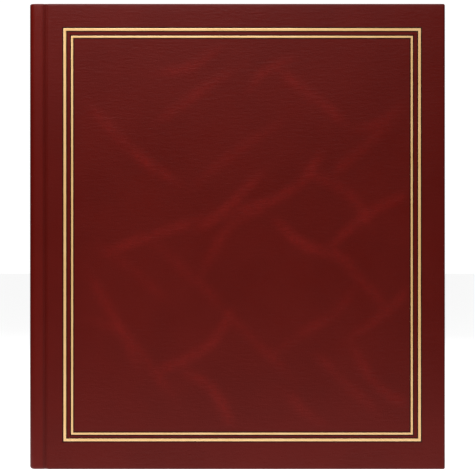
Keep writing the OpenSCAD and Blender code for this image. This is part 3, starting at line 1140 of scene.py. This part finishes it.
class ALBUM_OT_boards(bpy.types.Operator):
    """Finishes the boards, filler cards and linings of the case"""

    bl_idname = "album.boards"
    bl_label = "Boards and Linings"

    def execute(self, context):
        leaf = context.scene.album_leaf
        board = greyboard("Greyboard")
        lining = paper("Laid Lining Paper", tuple(leaf.cream), laid=0.5)
        for side in ("front", "back"):
            paint(side + "_cover_board", board)
            paint(side + "_cover_filler", board)
            paint(side + "_cover_lining", lining)
        paint("spine_core", board)
        paint("spine_lining", lining)
        return {"FINISHED"}


def softened(node, body, slot, material, bevel):
    """A copy of a CAD node with its edges broken by a small bevel."""
    piece = frame["nodes"][node].copy()
    piece.data = frame["nodes"][node].data.copy()
    piece.name = node + "_finished"
    piece.data.name = piece.name
    piece.parent = None
    piece.matrix_world = Matrix.Identity(4)
    for key in list(piece.keys()):
        del piece[key]
    bpy.context.scene.collection.objects.link(piece)
    piece.data.materials.clear()
    piece.data.materials.append(material)
    shape = bmesh.new()
    shape.from_mesh(piece.data)
    bmesh.ops.remove_doubles(shape, verts=shape.verts, dist=0.002 * MM)
    bmesh.ops.dissolve_limit(
        shape, angle_limit=math.radians(1), verts=shape.verts, edges=shape.edges
    )
    shape.to_mesh(piece.data)
    shape.free()
    edge = piece.modifiers.new("Broken Edge", "BEVEL")
    edge.width = bevel
    edge.segments = 2
    edge.limit_method = "ANGLE"
    edge.angle_limit = math.radians(30)
    applied(piece)
    return finished(piece, body, slot, node)


class ALBUM_OT_binding(bpy.types.Operator):
    """Finishes the binding rails, their rivets and the screw posts"""

    bl_idname = "album.binding"
    bl_label = "Rails, Rivets and Posts"

    def execute(self, context):
        enamel = metal("Black Enamel", (0.022, 0.022, 0.024), 0.35, metallic=0.0)
        steel = metal("Rivet Steel", (0.62, 0.62, 0.63), 0.32)
        brass = metal("Turned Brass", (0.78, 0.57, 0.26), 0.25)
        for node in ("front_binding_rail", "back_binding_rail"):
            softened(node, "spine", "rail_steel", enamel, 0.25 * MM)
        softened("rail_rivets", "spine", "rivet_steel", steel, 0.15 * MM)
        for node in ("post_barrels", "post_screws"):
            softened(node, "spine", "post_brass", brass, 0.15 * MM)
        return {"FINISHED"}


# ---------------------------------------------------------------- the leaves


def leaf_outline(high_x, low_z, high_z, corner, xs, zs):
    """The stations of a sheet whose two outer corners are rounded: rows of points by column."""
    grid = []
    for x in xs:
        cut = 0.0
        if x > high_x - corner:
            reach = x - (high_x - corner)
            cut = corner - math.sqrt(max(0.0, corner * corner - reach * reach))
        bottom, top = low_z + cut, high_z - cut
        grid.append([(x, bottom + (top - bottom) * (z - low_z) / (high_z - low_z)) for z in zs])
    return grid


def leaf_stray(x, z, low_x, high_x, seed):
    """How far a leaf strays from flat at a point, from -1 to 1; nothing in its bound margin."""
    free = max(0.0, (x - low_x) / (high_x - low_x) - 0.12)
    return free * math.sin(free * 3.1 + seed * 1.7) * math.cos(z * 14 + seed * 2.3)


def sheet_mesh(low, high, corner, wave, seed, extra_xs=(), holes=()):
    """Points and faces of one leaf: a thin closed sheet with rounded outer corners and punched holes.

    holes lists (x, z, radius). Each takes the place of a square of four by four cells of the grid.
    """
    turns = [high.x - corner * (1 - math.sin(math.radians(15 * k))) for k in range(7)]
    squares = [(x, z, radius, 1.6 * radius) for x, z, radius in holes]
    hole_xs = [x + reach * k / 2 for x, _, _, reach in squares for k in range(-2, 3)]
    hole_zs = [z + reach * k / 2 for _, z, _, reach in squares for k in range(-2, 3)]
    xs = with_steps([low.x, high.x, *turns, *extra_xs, *hole_xs], 14 * MM)
    zs = with_steps([low.z, high.z, *hole_zs], 16 * MM)
    grid = leaf_outline(high.x, low.z, high.z, corner, xs, zs)
    columns, rows = len(grid), len(grid[0])
    size = columns * rows
    points, faces = [], []
    for side in (low.y, high.y):
        for column in grid:
            for x, z in column:
                points.append((x, side + wave * leaf_stray(x, z, low.x, high.x, seed), z))

    def nearest(stations, value):
        return min(range(len(stations)), key=lambda k: abs(stations[k] - value))

    cut = set()
    rings = []
    for x, z, radius, reach in squares:
        i, j = nearest(xs, x - reach), nearest(zs, z - reach)
        cut.update((i + a, j + b) for a in range(4) for b in range(4))
        ring = [(i + a, j) for a in range(4)] + [(i + 4, j + b) for b in range(4)]
        ring += [(i + 4 - a, j + 4) for a in range(4)] + [(i, j + 4 - b) for b in range(4)]
        rings.append((x, z, radius, ring))
    for c in range(columns - 1):
        for r in range(rows - 1):
            if (c, r) in cut:
                continue
            a, b = c * rows + r, (c + 1) * rows + r
            faces.append((a, b, b + 1, a + 1))
            faces.append((size + a, size + a + 1, size + b + 1, size + b))
    for x, z, radius, ring in rings:
        start = len(points)
        for side in (low.y, high.y):
            for c, r in ring:
                way = Vector((xs[c] - x, zs[r] - z)).normalized() * radius
                points.append((x + way.x, side, z + way.y))
        count = len(ring)
        for k, (c, r) in enumerate(ring):
            c2, r2 = ring[(k + 1) % count]
            a, b = c * rows + r, c2 * rows + r2
            p, q = start + k, start + (k + 1) % count
            faces.append((a, b, q, p))
            faces.append((size + b, size + a, count + p, count + q))
            faces.append((p, q, count + q, count + p))
    border = [c * rows for c in range(columns)]
    border += [(columns - 1) * rows + r for r in range(1, rows)]
    border += [c * rows + rows - 1 for c in range(columns - 2, -1, -1)]
    border += list(range(rows - 2, 0, -1))
    for k, a in enumerate(border):
        b = border[(k + 1) % len(border)]
        faces.append((b, a, size + a, size + b))
    return points, faces


def post_holes():
    """Where the leaves are punched for the posts, a little wider than the barrels."""
    return [
        ((low.x + high.x) / 2, (low.z + high.z) / 2, (high.x - low.x) / 2 + POST_ROOM)
        for low, high in shafts()
    ]


def shafts():
    """The shaft of each post: its barrel, cut to the width it has between the rails."""
    mesh = frame["nodes"]["post_barrels"].data
    found = []
    for low, high in solids("post_barrels"):
        middle = Vector((low + high) / 2)
        near = [
            v.co for v in mesh.vertices
            if low.z - MM < v.co.z < high.z + MM and abs(v.co.y - low.y) < 0.01 * MM
        ]
        reach = max(abs(co.x - middle.x) for co in near)
        size = Vector((reach, 0, reach))
        found.append((middle - size, middle + size))
    return found


def leaf_material_of(node, materials):
    """The finish of a leaf by its kind."""
    if node.startswith("stock"):
        return materials["black"], "black_card"
    if node.startswith("interleaf"):
        return materials["glassine"], "glassine"
    return materials["cream"], "cream_card"


class ALBUM_OT_leaves(bpy.types.Operator):
    """Makes the turning leaves, each a sheet from its bound margin to its fore-edge, with closer steps
    across its fold
    """

    bl_idname = "album.leaves"
    bl_label = "Turning Leaves"

    def execute(self, context):
        leaf = context.scene.album_leaf
        materials = {
            "black": paper("Black Leaf Card", tuple(leaf.black), bends=True, roughness=0.7),
            "glassine": paper("Glassine Leaf", GLASSINE, 0.25, bends=True, alpha=0.62, roughness=0.35),
            "cream": paper("Cream Leaf Card", tuple(leaf.cream), bends=True),
        }
        margin_low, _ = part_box("turning_leaf_margins")
        holes = post_holes()
        for number, node in enumerate(TURNING):
            low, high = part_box(node)
            low.x = margin_low.x
            fold = JOINTS[node]["pos_m"][0]
            bend = [fold + (k / BEND_PARTS - BEND_INSIDE) * leaf.bend for k in range(BEND_PARTS + 1)]
            points, faces = sheet_mesh(low, high, leaf.corner, leaf.wave, number, bend, holes)
            material, slot = leaf_material_of(node, materials)
            piece = new_piece(node + "_sheet", points, faces, material)
            merged(piece, outward=True)
            replaced = [node, "turning_leaf_margins"] if number == 0 else [node]
            finished_bend(
                piece, ("spine", node), (bend[0], low.y, 0), (bend[-1], low.y, 0), slot, *replaced
            )
        return {"FINISHED"}


def geometry_group(name, inputs):
    """An empty Geometry Nodes tree with named inputs and a geometry output."""
    tree = bpy.data.node_groups.new(name, "GeometryNodeTree")
    tree.interface.new_socket("Geometry", in_out="OUTPUT", socket_type="NodeSocketGeometry")
    for label, kind in inputs:
        tree.interface.new_socket(label, in_out="INPUT", socket_type=kind)
    nodes = Nodes(tree)
    return tree, nodes, nodes.add("NodeGroupInput").outputs, nodes.add("NodeGroupOutput").inputs


def repeat_tree():
    """Repeats a shape in even steps, each copy strayed by a seeded amount."""
    tree, nodes, given, out = geometry_group(
        "Even Repeats",
        [("Shape", "NodeSocketObject"), ("Count", "NodeSocketInt"), ("Start", "NodeSocketVector"),
         ("Step", "NodeSocketVector"), ("Stray", "NodeSocketVector"), ("Seed", "NodeSocketInt"),
         ("Finish", "NodeSocketMaterial")],
    )
    row = nodes.made(
        "GeometryNodeMeshLine",
        {"Count": given["Count"], "Start Location": given["Start"], "Offset": given["Step"]}, mode="OFFSET",
    )
    shape = nodes.made("GeometryNodeObjectInfo", {"Object": given["Shape"]}, transform_space="ORIGINAL")
    back = nodes.add("ShaderNodeVectorMath", operation="SCALE")
    nodes.put(back.inputs[0], given["Stray"])
    nodes.put(back.inputs["Scale"], -1)
    scatter = nodes.made(
        "FunctionNodeRandomValue",
        {"Min": back.outputs[0], "Max": given["Stray"], "Seed": given["Seed"]}, data_type="FLOAT_VECTOR",
    )
    moved = nodes.made(
        "GeometryNodeSetPosition",
        {"Geometry": row.outputs["Mesh"], "Offset": scatter.outputs["Value"]},
    )
    copies = nodes.made(
        "GeometryNodeInstanceOnPoints",
        {"Points": moved.outputs["Geometry"], "Instance": shape.outputs["Geometry"]},
    )
    real = nodes.made("GeometryNodeRealizeInstances", {"Geometry": copies.outputs["Instances"]})
    coat = nodes.made(
        "GeometryNodeSetMaterial", {"Geometry": real.outputs["Geometry"], "Material": given["Finish"]}
    )
    nodes.put(out["Geometry"], coat.outputs["Geometry"])
    return tree


def repeated(name, shape, tree, material, **values):
    """One plain mesh of a shape's copies, from the Geometry Nodes tree."""
    holder = bpy.data.objects.new(name, bpy.data.meshes.new(name))
    bpy.context.scene.collection.objects.link(holder)
    repeats = holder.modifiers.new("Repeats", "NODES")
    repeats.node_group = tree
    values.update(Shape=shape, Finish=material)
    for item in tree.interface.items_tree:
        if item.in_out == "INPUT" and item.name in values:
            repeats[item.identifier] = values[item.name]
    return applied(holder)


def strip_shape(width, height, thickness, weld):
    """One clear strip at the origin: a film with a welded foot and a rounded upper lip, facing -Y."""
    section = [
        (0, SUNK), (0, -0.2 * thickness), (weld, -0.35 * thickness), (weld * 1.3, -thickness),
        (height - 0.5 * MM, -thickness), (height, -0.6 * thickness), (height, SUNK),
    ]
    parts, count = 18, len(section)
    points = [(width * k / parts, y, z) for k in range(parts + 1) for z, y in section]
    faces = []
    for k in range(parts):
        for c in range(count):
            d = (c + 1) % count
            faces.append((k * count + c, k * count + d, (k + 1) * count + d, (k + 1) * count + c))
    faces += [tuple(range(count - 1, -1, -1)), tuple(range(parts * count, (parts + 1) * count))]
    return points, faces


class ALBUM_OT_strips(bpy.types.Operator):
    """Makes the clear strips on the stock leaves"""

    bl_idname = "album.strips"
    bl_label = "Clear Strips"

    def execute(self, context):
        leaf = context.scene.album_leaf
        tree = repeat_tree()
        film = clear_film("Clear Film")
        levels = levels_of("stock_leaf_1_strips", 2)
        step, height = levels[2] - levels[0], levels[1] - levels[0]
        count = len(levels) // 2
        stock = [n for n in TURNING if n.startswith("stock")]
        for node in stock:
            card_low, card_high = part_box(node)
            low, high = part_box(node + "_strips")
            thickness = card_low.y - low.y
            points, faces = strip_shape(high.x - low.x, height, thickness, leaf.weld)
            shape = new_piece("strip_shape", points, faces, film)
            merged(shape, outward=True)
            halves = []
            for side, y in ((-1, card_low.y), (1, card_high.y)):
                if side > 0:
                    for vertex in shape.data.vertices:
                        vertex.co.y = -vertex.co.y
                    shape.data.flip_normals()
                halves.append(repeated(
                    node + "_side", shape, tree, film, Count=count, Start=(low.x, y, levels[0]),
                    Step=(0, 0, step), Stray=(0, 0, 0), Seed=1,
                ))
            strips = joined(node + "_clear_strips", halves)
            bpy.data.objects.remove(shape)
            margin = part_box("turning_leaf_margins")[0].x
            for vertex in strips.data.vertices:
                x, _, z = vertex.co
                vertex.co.y += leaf.wave * leaf_stray(x, z, margin, card_high.x, TURNING.index(node))
            finished(strips, node, "clear_film", node + "_strips")
        paint("block_leaf_strips", film)
        return {"FINISHED"}


def joined(name, parts):
    """Joins several plain meshes into one piece."""
    shape = bmesh.new()
    for part in parts:
        shape.from_mesh(part.data)
    piece = parts[0]
    shape.to_mesh(piece.data)
    shape.free()
    piece.name = piece.data.name = name
    for part in parts[1:]:
        bpy.data.objects.remove(part)
    smoothed(piece.data)
    return piece


class ALBUM_OT_block(bpy.types.Operator):
    """Makes the leaves that stay in the block, and finishes the guards between their margins"""

    bl_idname = "album.block"
    bl_label = "Leaf Block"

    def execute(self, context):
        leaf = context.scene.album_leaf
        tree = bpy.data.node_groups["Even Repeats"]
        room_x, room_z = BLOCK_ROOM
        holes = [(x, z, radius + room_x) for x, z, radius in post_holes()]
        black = paper("Black Block Card", tuple(leaf.black), roughness=0.7)
        glassine = paper("Glassine Block", GLASSINE, 0.25, alpha=0.85, roughness=0.35)
        for node, material, slot, seed in (
            ("block_stock_leaves", black, "black_card", 3), ("block_interleaves", glassine, "glassine", 5),
        ):
            low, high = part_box(node)
            levels = levels_of(node, 1)
            thickness, step = levels[1] - levels[0], levels[2] - levels[0]
            sheet_high = Vector((high.x - room_x, low.y + thickness, high.z - room_z))
            sheet_low = Vector((low.x, low.y, low.z + room_z))
            points, faces = sheet_mesh(sheet_low, sheet_high, leaf.corner, 0.0, seed, holes=holes)
            shape = new_piece("sheet_shape", points, faces, material)
            merged(shape, outward=True)
            piece = repeated(
                node + "_sheets", shape, tree, material, Count=len(levels) // 2, Start=(0, 0, 0),
                Step=(0, step, 0), Stray=BLOCK_STRAY, Seed=seed,
            )
            bpy.data.objects.remove(shape)
            finished(piece, "spine", slot, node)
        paint("margin_guards", black)
        return {"FINISHED"}


# ---------------------------------------------------------------- the stage


def pale_floor(stage):
    """A pale floor that keeps a soft shadow, has a painted shadow under the leaves where the camera's glow
    is left off, and lights the object a little.
    """
    material, nodes = new_material("Pale Floor")
    mottle = nodes.noise(nodes.place(), 3.0, 3.0)
    base = nodes.mix(mottle, (0.88, 0.88, 0.88), (0.90, 0.90, 0.90))
    lit = nodes.made("ShaderNodeBsdfDiffuse", {"Color": base})
    # Painted shadow: the camera's glow is left off inside the leaf block's footprint, so the floor under
    # and between the covers shows dark
    _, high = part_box("block_stock_leaves")
    reach = nodes.vector("ABSOLUTE", nodes.place(), (0, 0, 0))
    x, y, _ = nodes.split(nodes.vector("SUBTRACT", reach, (high.x, high.y, 0)))
    clear = nodes.smooth(nodes.math("MAXIMUM", x, y), -4 * MM, 2 * MM)
    shown = nodes.add("ShaderNodeAddShader")
    nodes.put(shown.inputs[0], lit.outputs[0])
    nodes.put(shown.inputs[1], nodes.glow(nodes.math("MULTIPLY", clear, stage.floor_glow)))
    x, y, _ = nodes.split(nodes.place())
    away = nodes.add("ShaderNodeVectorMath", operation="LENGTH")
    nodes.put(away.inputs[0], nodes.join(x, y, 0.0))
    near = nodes.math("SUBTRACT", 1.0, nodes.smooth(away.outputs["Value"], FLOOR_NEAR, FLOOR_FAR))
    thrown = nodes.glow(nodes.plus(stage.surround, near, stage.floor_bounce - stage.surround))
    nodes.finish(nodes.by_camera(shown.outputs[0], thrown))
    return material


def studio_world(stage):
    """A white surrounding that the camera sees, and a dim one that lights the object."""
    world = bpy.data.worlds.new("Studio")
    world.use_nodes = True
    sky = Nodes(world.node_tree)
    white = (1, 1, 1, 1)
    seen, unseen = (
        sky.made("ShaderNodeBackground", {"Color": white, "Strength": strength}).outputs[0]
        for strength in (1.05, stage.surround)
    )
    sky.finish(sky.by_camera(seen, unseen), "ShaderNodeOutputWorld")
    return world


def area_light(name, place, target, size, power):
    """A soft rectangular lamp aimed at a point."""
    lamp = bpy.data.lights.new(name, "AREA")
    lamp.shape = "RECTANGLE"
    lamp.size, lamp.size_y = size
    lamp.energy = power
    light = bpy.data.objects.new(name, lamp)
    bpy.context.scene.collection.objects.link(light)
    light.location = place
    way = Vector(target) - Vector(place)
    light.rotation_euler = way.to_track_quat("-Z", "Y").to_euler()
    light.visible_camera = False


class ALBUM_OT_stage(bpy.types.Operator):
    """Makes the floor, the lamps and the camera"""

    bl_idname = "album.stage"
    bl_label = "Stage"

    def execute(self, context):
        stage = context.scene.album_stage
        scene = context.scene
        scene.view_settings.view_transform = "Standard"
        material = pale_floor(stage)
        level = CAD_LOW.z - FLOOR_GAP
        corners = [
            (x * FLOOR_HALF, y * FLOOR_HALF, level) for x, y in ((-1, -1), (1, -1), (1, 1), (-1, 1))
        ]
        floor = new_piece("floor", corners, [(0, 1, 2, 3)], material, flat=True)
        scene.world = studio_world(stage)
        middle = (0, 0, (CAD_LOW.z + CAD_HIGH.z) / 2)
        area_light("head_softbox", (-0.16, -0.42, 0.64), middle, (0.7, 0.3), stage.head_power)
        area_light("overhead_softbox", (0.0, -0.2, 1.7), middle, (1.6, 1.2), stage.overhead_power)
        area_light("back_softbox", (0.6, 1.4, 1.1), middle, (1.4, 1.0), stage.back_power)
        camera_data = bpy.data.cameras.new("camera")
        camera_data.lens = stage.lens
        camera = bpy.data.objects.new("camera", camera_data)
        scene.collection.objects.link(camera)
        distance = stage.view_width * stage.lens / camera_data.sensor_width
        camera.location = (
            stage.shift_right, CAD_LOW.y - distance, middle[2] - stage.shift_down
        )
        camera.rotation_euler = (math.radians(90), 0, 0)
        camera_data.clip_start, camera_data.clip_end = 0.05, 60
        scene.camera = camera
        return {"FINISHED"}


OPERATORS = (
    ALBUM_OT_stage, ALBUM_OT_covers, ALBUM_OT_pads, ALBUM_OT_spine, ALBUM_OT_joints, ALBUM_OT_gilding,
    ALBUM_OT_boards, ALBUM_OT_binding, ALBUM_OT_leaves, ALBUM_OT_strips, ALBUM_OT_block,
)
SETTINGS = {
    "album_case": CaseSettings, "album_gilt": GiltSettings, "album_leaf": LeafSettings,
    "album_stage": StageSettings,
}


class ALBUM_PT_panel(bpy.types.Panel):
    """Lists the album's makers in the sidebar"""

    bl_idname = "ALBUM_PT_panel"
    bl_label = "Stamp Album"
    bl_space_type = "VIEW_3D"
    bl_region_type = "UI"
    bl_category = "Stamp Album"

    def draw(self, context):
        for operator in OPERATORS:
            self.layout.operator(operator.bl_idname)


def register():
    """Registers the settings, the operators and the panel."""
    for name, group in SETTINGS.items():
        bpy.utils.register_class(group)
        setattr(bpy.types.Scene, name, bpy.props.PointerProperty(type=group))
    for item in (*OPERATORS, ALBUM_PT_panel):
        bpy.utils.register_class(item)


def unregister():
    """Removes what register added."""
    for item in reversed((*OPERATORS, ALBUM_PT_panel)):
        bpy.utils.unregister_class(item)
    for name, group in reversed(SETTINGS.items()):
        delattr(bpy.types.Scene, name)
        bpy.utils.unregister_class(group)


def main():
    """Builds every piece."""
    register()
    make_groups()
    for operator in OPERATORS:
        family, name = operator.bl_idname.split(".")
        getattr(getattr(bpy.ops, family), name)()


if __name__ == "__main__":
    main()
